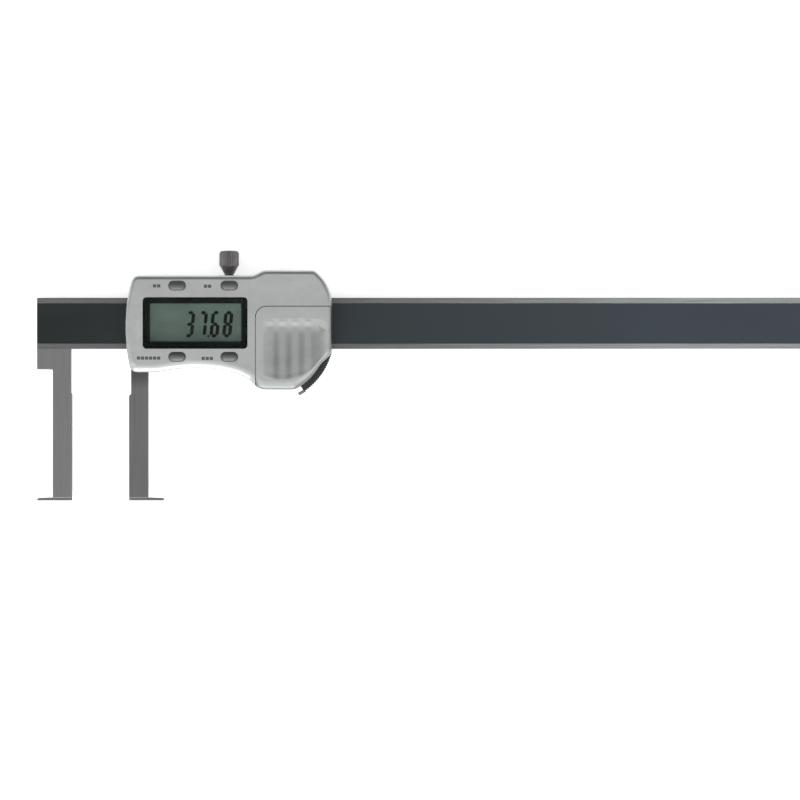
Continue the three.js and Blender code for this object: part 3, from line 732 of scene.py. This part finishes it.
# ------------------------------------------------------------------ camera, floor and light


def make_camera():
    """Long lens straight down over the display, with the beam running out at the right."""
    height, seen_width = 1.6, 0.2496
    view_centre = BEAM_ORIGIN + Vector((113.26, -23.9, 0)) * MM
    data = bpy.data.cameras.new("camera")
    data.sensor_width = 36
    data.lens = 36 * (height - BEAM_Z[1] * MM) / seen_width
    data.clip_end = 20
    camera = bpy.data.objects.new("camera", data)
    camera.location = (view_centre.x, view_centre.y, height)
    bpy.context.scene.collection.objects.link(camera)
    bpy.context.scene.camera = camera


def make_floor():
    side, thickness, gap = (-3000, 3000), 20, 0.02
    floor = block(side, side, (-thickness, -gap))
    place(floor, Vector())
    floor.name = "floor"
    made = Surface("floor_white", (0.93, 0.93, 0.93), 0.9)
    made.set("Emission Color", (1, 1, 1, 1))
    made.set("Emission Strength", 0.65)
    cloud = made.noise((3, 3, 3), 2.0)
    tone = made.spread(cloud, 0.2, 0.8, 0, 1)
    made.color(made.mix(tone, (0.93, 0.93, 0.93), (0.945, 0.945, 0.94)))
    floor.data.materials.append(made.material)


def area_light(name, place_at, target, size, power, color=(1, 1, 1)):
    data = bpy.data.lights.new(name, "AREA")
    data.shape = "RECTANGLE"
    data.size, data.size_y = size
    data.energy = power
    data.color = color
    lamp = bpy.data.objects.new(name, data)
    lamp.location = place_at
    lamp.rotation_mode = "QUATERNION"
    lamp.rotation_quaternion = (Vector(target) - Vector(place_at)).to_track_quat("-Z", "Y")
    bpy.context.scene.collection.objects.link(lamp)


def make_world():
    """Pale studio: lighter towards -Y, darker towards +Y, plain white to the camera."""
    world = bpy.data.worlds.new("studio")
    bpy.context.scene.world = world
    world.use_nodes = True
    tree = world.node_tree
    tree.nodes.clear()
    out = tree.nodes.new("ShaderNodeOutputWorld")
    coords = tree.nodes.new("ShaderNodeTexCoord")
    dot = tree.nodes.new("ShaderNodeVectorMath")
    dot.operation = "DOT_PRODUCT"
    dot.inputs[1].default_value = Vector((-0.03, -0.98, 0.1)).normalized()
    ramp = tree.nodes.new("ShaderNodeMapRange")
    ramp.interpolation_type = "SMOOTHSTEP"
    for key, value in (("From Min", -0.7), ("From Max", 0.67), ("To Min", 0.3), ("To Max", 1.6)):
        ramp.inputs[key].default_value = value
    lit = tree.nodes.new("ShaderNodeBackground")
    seen = tree.nodes.new("ShaderNodeBackground")
    seen.inputs["Color"].default_value = (0.94, 0.94, 0.94, 1)
    path = tree.nodes.new("ShaderNodeLightPath")
    mix = tree.nodes.new("ShaderNodeMixShader")
    tree.links.new(coords.outputs["Generated"], dot.inputs[0])
    tree.links.new(dot.outputs["Value"], ramp.inputs["Value"])
    tree.links.new(ramp.outputs["Result"], lit.inputs["Strength"])
    tree.links.new(path.outputs["Is Camera Ray"], mix.inputs[0])
    tree.links.new(lit.outputs[0], mix.inputs[1])
    tree.links.new(seen.outputs[0], mix.inputs[2])
    tree.links.new(mix.outputs[0], out.inputs["Surface"])


def make_studio():
    make_world()
    area_light("low_key", (-0.15, -0.92, 0.45), (-0.03, 0, 0), (1.0, 0.5), 6)
    bpy.context.scene.view_settings.view_transform = "Standard"


make_camera()
make_floor()
make_studio()

# ------------------------------------------------------------------ beam pieces


def make_fixed_jaw():
    """Foot and leg of the fixed jaw; the foot's top runs a little into the beam's edge."""
    outer, inner, relief = 4.9, FIXED_LEG_INNER, 10.6
    top, shoulder = -7.6, -14.4
    outline = [(0, top), (0, shoulder), (outer, shoulder), (outer, JAW_END), (inner, JAW_END)]
    outline += [(inner, -22), (relief, -21.8), (relief, top)]
    made = plate(eased(outline, 0.35), *BEAM_Z, 0.22)
    place(made, BEAM_ORIGIN)
    finish_piece(made, "fixed_leg", "beam", jaw_steel, ["fixed_jaw"])


def make_tip(name, node, body, origin, root, reach):
    """Hook blade under a leg, from x = root out to x = reach, slightly thinner at its end."""
    toward = 1 if reach > root else -1
    top = JAW_END + 0.1
    outline = [(root, top), (root, HOOK_END), (reach, HOOK_END), (reach, JAW_END - 0.35)]
    outline += [(reach - toward * 0.5, JAW_END - 0.05), (root + toward * 6, top)]
    made = plate(eased(cleaned(outline), 0.12), *HOOK_Z, 0.12)
    place(made, origin)
    finish_piece(made, name, body, tip_steel, [node])


def make_beam():
    """The beam's section, run along its length; its recess stops short of the free end."""
    half, groove, floor_z, edge = 8.0, 6.25, BEAM_Z[1] - 1, 0.15
    low, high = BEAM_Z

    def section(x, recess_z, smaller=0.0):
        out, bottom, top = half - smaller, low + smaller, high - smaller
        points = arc(-out + edge, bottom + edge, edge, 180, 270, 4)
        points += arc(out - edge, bottom + edge, edge, 270, 360, 4)
        points += arc(out - edge, top - edge, edge, 0, 90, 4)
        points += [(groove + 0.06, top), (groove, top - 0.06), (groove, recess_z)]
        points += [(-groove, recess_z), (-groove, top - 0.06), (-groove - 0.06, top)]
        points += arc(-out + edge, top - edge, edge, 90, 180, 4)
        return [(x, y, z) for y, z in points]

    recess_end, length = 239, (BEAM_HIGH.x - BEAM_LOW.x) / MM
    rings = [section(0, floor_z, 0.1), section(0.1, floor_z), section(recess_end, floor_z)]
    rings += [section(recess_end, high), section(length - 0.1, high)]
    made = loft(rings + [section(length, high - 0.1, 0.1)])
    place(made, BEAM_ORIGIN)
    finish_piece(made, "beam_bar", "beam", beam_steel, ["beam"])


def countersunk(x, y):
    """What a countersunk screw takes out of a plate on the underside."""
    return turned([(1.75, -1), (1.75, 0.1), (0.95, 0.95), (0.95, 3)], x, y, 32)


def make_end_stop():
    """Plate under the beam's free end."""
    low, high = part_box("end_stop")
    x = [(v.x - BEAM_LOW.x) / MM for v in (low, high)]
    y = [(v.y - CENTRE_Y) / MM for v in (low, high)]
    made = plate(rounded(x, y, 0.8, 5), low.z / MM, high.z / MM, 0.12)
    cut(made, *(countersunk(at, 0) for at in STOP_SCREW_X))
    place(made, BEAM_ORIGIN)
    finish_piece(made, "stop_plate", "beam", frame_steel, ["end_stop"])


make_beam()
machined("scale_board", board_green, 0.03)
machined("scale_film", film_face, 0.06, 2)
make_fixed_jaw()
make_tip("fixed_blade", "fixed_jaw_tip", "beam", BEAM_ORIGIN, FIXED_LEG_INNER, -0.05)
make_end_stop()
for number in (1, 2):
    machined(f"end_stop_screw_{number}", dark_steel, 0.05)

# ------------------------------------------------------------------ slider frame and jaw

FRONT = front_outline()
BASE = base_outline()


def make_sliding_jaw():
    """Leg of the sliding jaw; its top is hidden under the slider."""
    inner, outer, relief, top = SLIDING_LEG_INNER, 6.7, 1.35, -13
    outline = [(relief, top), (relief, -22.1), (inner, -22.5), (inner, JAW_END)]
    outline += [(outer, JAW_END), (outer, top)]
    made = plate(eased(outline, 0.35), *BEAM_Z, 0.22)
    place(made, SLIDER_ORIGIN)
    finish_piece(made, "sliding_leg", "slider", jaw_steel_dark, ["sliding_jaw"])


def grip_ring(inner, outer, start, end, low, high, ripple=0.0, count=0):
    """A sector of a ring round the grip's centre, its outer side rippled count times."""
    steps = max(24, count * 8)
    points = arc(GRIP_X, GRIP_CENTRE_Y, inner, start, end, 24)
    for i in range(steps + 1):
        part = i / steps
        a = math.radians(end + (start - end) * part)
        radius = outer - ripple * abs(math.sin(math.pi * count * part)) ** 0.7
        points.append((GRIP_X + radius * math.cos(a), GRIP_CENTRE_Y + radius * math.sin(a)))
    return plate(cleaned(points, 0.01), low, high, 0.15)


def grip_tongue(low, high, play=0.0):
    """The thumb rest's tongue; with play, the slot in the frame that it lies in."""
    inner, start, end = GRIP_INNER - 3 - play, -24 + 2 * play, -50 - 2 * play
    return grip_ring(inner, GRIP_INNER + 0.6, start, end, low, high)


def make_thumb_rest():
    """Rippled band at the slider's lower right corner, with a small tab at its end."""
    low, high = heights("thumb_rest")
    made = grip_ring(GRIP_INNER, GRIP_OUTER, *GRIP_ANGLES, low, high - 0.02, 0.35, 20)
    join(made, grip_tongue(low, low + 1))
    place(made, SLIDER_ORIGIN)
    finish_piece(made, "thumb_ridges", "slider", grip_black, ["thumb_rest"])
    tab = grip_ring(GRIP_OUTER - 0.9, GRIP_OUTER + 0.1, *TAB_ANGLES, low, high - 0.3)
    place(tab, SLIDER_ORIGIN)
    finish_piece(tab, "thumb_rest_tab", "slider", tab_grey)


def make_frame():
    """Channel that runs on the beam, with a post and a deck across it."""
    whole_height = 0, 9
    beam_slot = block((-9, LENGTH + 9), (-8.1, 8.85), whole_height)
    jaw_slot = block((-1, 6.8), (-19, -13), whole_height)
    made = cut(prism(inset(BASE, 0.4), *FRAME_Z), beam_slot, jaw_slot)
    deck = prism(inset(BASE, WALL + 0.15), *BRIDGE_Z)
    combine(deck, block((41, 62.3), (-12.6, 13), BRIDGE_Z), "INTERSECT")
    cut(deck, rod(BOSS_RADIUS + 0.2, 4, 9, *CASE_SCREWS[2]))
    post = block((2.4, 3.5), (-9.1, 9.5), BRIDGE_Z)
    join(made, deck, post)
    for x, y in CASE_SCREWS:
        cut(made, rod(SCREW_RADIUS + 0.05, *whole_height, x, y, 24))
    for x in (LOCK_AT, *GIB_SCREW_X):
        cut(made, turn_to_y(rod(1.3, 8, 20), x, LOCK_Z))
    cut(made, grip_tongue(1.15, 2.25, 0.05))
    merged_flat(made, 0.5)
    soften(made, 0.12, 2)
    place(made, SLIDER_ORIGIN)
    finish_piece(made, "channel", "slider", frame_steel, ["slider_frame"])


def make_back_plate():
    """Plate that closes the slider's back, held by the case screws."""
    made = plate(inset(BASE, 0.7), *heights("back_plate"), 0.1)
    cut(made, *(countersunk(x, y) for x, y in CASE_SCREWS))
    place(made, SLIDER_ORIGIN)
    finish_piece(made, "back", "slider", frame_steel, ["back_plate"])


make_sliding_jaw()
make_frame()
make_back_plate()
make_tip("sliding_blade", "sliding_jaw_tip", "slider", SLIDER_ORIGIN, SLIDING_LEG_INNER, 11.65)
make_thumb_rest()
machined("gib_strip", bronze, 0.06)
for number in (1, 2):
    machined(f"gib_screw_{number}", dark_steel, 0.06)
    machined(f"contact_strip_{number}", rubber, 0.15, 3)
for number in (1, 2, 3, 4):
    machined(f"case_screw_{number}", dark_steel, 0.05)
    machined(f"snap_dome_{number}", spring_steel, 0.05)
machined("main_board", board_green, 0.08)
machined("chip_cover", rubber, 0.1)
machined("display_holder", inner_grey, 0.15)
machined("battery_tray", inner_grey, 0.12)
machined("battery_contact_negative", gold, 0.04)
machined("battery_contact_positive", gold, 0.06)

# ------------------------------------------------------------------ housing and cover


def front_reach(p):
    """Width of the front's rounded edge: broad along the bottom, left of the thumb rest."""
    return 1.5 + 1.3 * smooth((-12.3 - p[1]) / 1.7) * smooth((59 - p[0]) / 6)


def front_slab(bottom):
    """The whole front, rising gently to its thicker right end."""
    made = slab(FRONT, bottom, FRONT_Z, front_reach, 1.5)
    work = bmesh.new()
    work.from_mesh(made.data)
    start, width, steps = BUMP_X[0], 3.0, 8
    for i in range(steps + 1):
        whole = work.verts[:] + work.edges[:] + work.faces[:]
        line = (start + width * i / steps, 0, 0)
        bmesh.ops.bisect_plane(work, geom=whole, plane_co=line, plane_no=(1, 0, 0), dist=1e-4)
    for v in work.verts:
        if v.co.z > bottom + 0.1:
            v.co.z += (RAISED_Z - FRONT_Z) * smooth((v.co.x - start) / width)
    work.to_mesh(made.data)
    work.free()
    return made


def make_housing():
    """The slider's front shell, without the battery cover's field."""
    half_seam, rim_wall = SEAM / 2, 1.1
    made = front_slab(RIM_TOP - 0.01)
    join(made, prism(BASE, FRAME_Z[1], RIM_TOP))
    cut(made, prism(cover_field(half_seam), RIM_TOP, ABOVE))
    room = prism(inset(FRONT, WALL), RIM_TOP - 0.2, FRONT_Z - WALL)
    cut(room, prism(cover_field(half_seam + rim_wall), 0, ABOVE))
    cut(made, prism(inset(BASE, WALL), 0, RIM_TOP + 0.01), room)
    for x, y in CASE_SCREWS:
        top = RIM_TOP - 0.1 if (x, y) == CASE_SCREWS[3] else FRONT_Z - 1
        join(made, rod(BOSS_RADIUS, FRAME_Z[1], top, x, y))
        cut(made, rod(SCREW_RADIUS + 0.05, 0, 8.1, x, y, 24))
    cut(made, prism(rounded(WINDOW_X, WINDOW_Y, WINDOW_CORNER), *FRONT_CUT))
    for x, y in BUTTON_AT:
        hole = stadium(BUTTON_LENGTH + BUTTON_GAP, BUTTON_WIDTH + BUTTON_GAP, x, y)
        cut(made, prism(hole, *FRONT_CUT))
    lip = block((COVER_LEFT - 0.9, COVER_LEFT + 0.35), (-17, 1.5), (11.6, COVER_CEILING - 0.1))
    join(made, lip)
    merged_flat(made, 0.5)
    soften(made, 0.16, 3)
    place(made, SLIDER_ORIGIN)
    finish_piece(made, "housing_shell", "slider", silver, ["front_housing"])


def dish_depth(x, y):
    """Depth of the thumb hollow below the cover's face, less on its upright ribs."""
    rim = DISH_RADIUS - math.dist((x, y), (DISH_X, DISH_Y))
    bowl = 0.35 * smooth(rim / 2) + 0.65 * (1 - (1 - min(max(rim / 8, 0), 1)) ** 2)
    sides = smooth((x - 41.7) / 3.4) * smooth((64 - x) / 4)
    rib = 0
    for i in range(RIB_COUNT):
        middle = RIB_AT + RIB_PITCH * i
        away = math.dist((x, y), (middle, min(y, RIB_TOP - 1.2)))
        rib = max(rib, smooth(1.25 - away / 1.5))
    valley = 0.5 * smooth((RIB_TOP + 1.5 - y) / 6)
    crest = 0.3 * smooth((RIB_TOP - y) / 2.4)
    return bowl * sides * (valley + (crest - valley) * rib)


def dish_tool():
    """What the hollow takes away: a fine height field below, a flat lid above."""
    step, left, bottom = 0.2, 41.6, -19.2
    across, along = 109, 110
    lid = RAISED_Z + 1
    points = []
    for j in range(along):
        for i in range(across):
            x, y = left + i * step, bottom + j * step
            points.append((x, y, RAISED_Z + 0.03 - dish_depth(x, y)))
    faces = []
    for j in range(along - 1):
        for i in range(across - 1):
            a = j * across + i
            faces.append([a, a + across, a + across + 1, a + 1])
    border = list(range(across))
    border += [j * across + across - 1 for j in range(1, along)]
    border += [(along - 1) * across + i for i in range(across - 2, -1, -1)]
    border += [j * across for j in range(along - 2, 0, -1)]
    first = len(points)
    points += [(points[k][0], points[k][1], lid) for k in border]
    count = len(border)
    for i in range(count):
        j = (i + 1) % count
        faces.append([border[i], border[j], first + j, first + i])
    faces.append([first + i for i in range(count)])
    return mesh_object("dish", points, faces)


def make_cover():
    """Battery cover: its own part of the front, hollow below, with the thumb hollow on top."""
    top_wall, far = 1.2, 99
    made = front_slab(COVER_BOTTOM)
    combine(made, prism(cover_field(-SEAM / 2), 0, ABOVE), "INTERSECT")
    room = prism(inset(FRONT, WALL), 0, COVER_CEILING)
    combine(room, block((0, far), (-far, COVER_TOP - top_wall), (0, ABOVE)), "INTERSECT")
    cut(made, room)
    merged_flat(made, 0.5)
    soften(made, 0.16, 3)
    arrow = [(62.3, -2.3), (60.2, -1.0), (60.2, -3.6)]
    cut(made, dish_tool(), prism(cleaned(arrow), RAISED_Z - 0.35, 20))
    place(made, SLIDER_ORIGIN)
    nodes = ["battery_cover"]
    finish_piece(made, "cover_shell", "battery_cover", cover_silver, nodes)


make_housing()
make_cover()

# ------------------------------------------------------------------ buttons and lock screw


def make_buttons():
    """Oval caps with a domed top, each on a flange and a short stem."""
    half_length, half_width, thickness = 3.4, 1.45, 0.7
    cap_low = FRONT_Z - WALL - 0.2
    low = cap_low - thickness
    for index, (x, y) in enumerate(BUTTON_AT):
        outline = stadium(BUTTON_LENGTH, BUTTON_WIDTH, x, y)
        made = slab(outline, cap_low, BUTTON_TOP, lambda p: 1.3, 0.8, 8, 1.2)
        flange_x, flange_y = (x - half_length, x + half_length), (y - half_width, y + half_width)
        flange = block(flange_x, flange_y, (low, cap_low + 0.01))
        join(made, flange, rod(1, heights("button_1")[0], low + 0.1, x, y, 24))
        soften(made, 0.06, 2, 60)
        place(made, SLIDER_ORIGIN)
        node = f"button_{index + 1}"
        finish_piece(made, f"push_{index + 1}", node, button_shaded_silver, [node])


def knurled(profile, knurls=26, per_knurl=6):
    """A loft through (radius, depth of knurl, height) rings about the z axis."""
    rings = []
    count = knurls * per_knurl
    for radius, depth, z in profile:
        ring = []
        for i in range(count):
            a = 2 * math.pi * i / count
            r = radius - depth * abs(math.sin(a * knurls / 2)) ** 1.3
            ring.append((r * math.cos(a), r * math.sin(a), z))
        rings.append(ring)
    return loft(rings)


def make_lock_screw():
    """Screw with a cone and a knurled head, lying along Y."""
    profile = [(1.05, 0, 9), (1.25, 0, 9.25), (1.25, 0, 14.9), (2.5, 0, 17.2), (2.8, 0, 17.75)]
    profile += [(2.85, 0.02, 17.9), (3.05, 0.3, 18.15), (3.05, 0.3, 21.95), (2.85, 0.1, 22.3)]
    profile += [(2.6, 0, 22.6), (2.3, 0, 22.7), (1.3, 0, 22.7), (1.1, 0, 22.5), (0.2, 0, 22.45)]
    made = turn_to_y(knurled(profile), LOCK_AT, LOCK_Z)
    place(made, SLIDER_ORIGIN)
    finish_piece(made, "lock_knob", "lock_screw", lock_steel, ["lock_screw"])


make_buttons()
make_lock_screw()

# ------------------------------------------------------------------ display and printed marks


def ring_prism(outer, inner, low, high):
    """A flat frame between two outlines of as many points."""
    rings = [at_height(outer, low), at_height(outer, high)]
    rings += [at_height(inner, high), at_height(inner, low)]
    count = len(outer)
    faces = []
    for k in range(4):
        a, b = k * count, (k + 1) % 4 * count
        for i in range(count):
            j = (i + 1) % count
            faces.append([a + i, a + j, b + j, b + i])
    return mesh_object("ring", [p for ring in rings for p in ring], faces)


FIGURES = {"3": "abcdg", "6": "acdefg", "7": "abc", "8": "abcdefg"}
FIGURE_WIDTH, FIGURE_HEIGHT, STROKE, SLANT = 2.85, 8.2, 1.05, 0.1
FIGURE_X, FIGURE_Y, FIGURE_PITCH = 19.9, -0.35, 3.95
DASH_LENGTH, DASH_WIDTH, DASH_PITCH = 1.05, 1.0, 1.25


def bar(x0, y0, x1, y1):
    """One stroke of a seven-segment figure, pointed at both ends."""
    a, b = Vector((x0, y0)), Vector((x1, y1))
    along = (b - a).normalized() * (STROKE / 2)
    across = Vector((-along.y, along.x))
    gap = along * 0.2
    ends = (a + gap, a + along + across, b - along + across)
    ends += (b - gap, b - along - across, a + along - across)
    return [tuple(p) for p in ends]


def figure(symbol, x, y):
    """Strokes of one figure about its centre, leaning to the right."""
    w, h = (FIGURE_WIDTH - STROKE) / 2, (FIGURE_HEIGHT - STROKE) / 2
    strokes = {
        "a": bar(-w, h, w, h), "b": bar(w, 0, w, h), "c": bar(w, -h, w, 0),
        "d": bar(-w, -h, w, -h), "e": bar(-w, -h, -w, 0), "f": bar(-w, 0, -w, h),
        "g": bar(-w, 0, w, 0),
    }
    lit = [strokes[name] for name in FIGURES[symbol]]
    return [[(x + px + SLANT * py, y + py) for px, py in stroke] for stroke in lit]


def make_display():
    """Panel, its figures, the dark border and the clear pane over them."""
    glass_top = heights("display_glass")[1]
    pane_low = heights("display_window")[0]
    glass = plate(rounded(GLASS_X, GLASS_Y, 0.3), *heights("display_glass"), 0.05)
    place(glass, SLIDER_ORIGIN)
    nodes = ["display_glass"]
    finish_piece(glass, "panel", "slider", panel_grey, nodes)
    opening = rounded(WINDOW_X, WINDOW_Y, WINDOW_CORNER)
    pane = plate(shrunk(opening, 0.08), pane_low, heights("display_window")[1], 0.12)
    join(pane, plate(shrunk(opening, -0.55), pane_low, pane_low + 0.6, 0.05))
    place(pane, SLIDER_ORIGIN)
    nodes = ["display_window"]
    finish_piece(pane, "pane", "slider", pane_clear, nodes)
    view = rounded(VIEW_X, VIEW_Y, 0.5)
    border = ring_prism(shrunk(opening, -0.3), view, glass_top + 0.12, pane_low - 0.02)
    place(border, SLIDER_ORIGIN)
    finish_piece(border, "window_border", "slider", mask_black)
    outlines = []
    for place_in_row, symbol in enumerate("3768"):
        outlines += figure(symbol, FIGURE_X + FIGURE_PITCH * place_in_row, FIGURE_Y)
    decimal_point = rounded((25.4, 26.0), (-4.3, -3.7), 0.1)
    outlines.append(decimal_point)
    lit = prisms(outlines, glass_top + 0.005, glass_top + 0.03)
    place(lit, SLIDER_ORIGIN)
    finish_piece(lit, "display_figures", "slider", ink)


def make_printed_marks():
    """Rows of short dashes where the buttons are labelled, without any lettering."""
    outlines = []
    for x, y, count in ((8.6, 11.5, 2), (24.4, 11.4, 2), (3.6, -10.9, 6), (23.7, -11, 3)):
        for i in range(count):
            left = x + DASH_PITCH * i
            half = DASH_WIDTH / 2
            outlines.append(rounded((left, left + DASH_LENGTH), (y - half, y + half), 0.2, 4))
    marks = prisms(outlines, FRONT_Z - 0.05, FRONT_Z + 0.012)
    place(marks, SLIDER_ORIGIN)
    finish_piece(marks, "button_marks", "slider", print_grey)


def make_battery():
    """Coin cell: a can with a narrower cap below, and a plus mark in its face."""
    low, high = heights("battery")
    profile = [(8.6, low), (8.8, low + 0.15), (8.8, low + 0.5), (9.7, low + 0.5)]
    profile += [(9.9, low + 0.58), (10, low + 0.75), (10, high - 0.45), (9.85, high - 0.12)]
    profile += [(9.5, high), (0.4, high)]
    made = turned(profile, BATTERY_X, BATTERY_Y, 96)
    for half_x, half_y in ((1.4, 0.3), (0.3, 1.4)):
        x, y = (BATTERY_X - half_x, BATTERY_X + half_x), (BATTERY_Y - half_y, BATTERY_Y + half_y)
        cut(made, block(x, y, (high - 0.06, high + 1)))
    place(made, SLIDER_ORIGIN)
    finish_piece(made, "coin_cell", "slider", battery_steel, ["battery"])


make_display()
make_printed_marks()
make_battery()
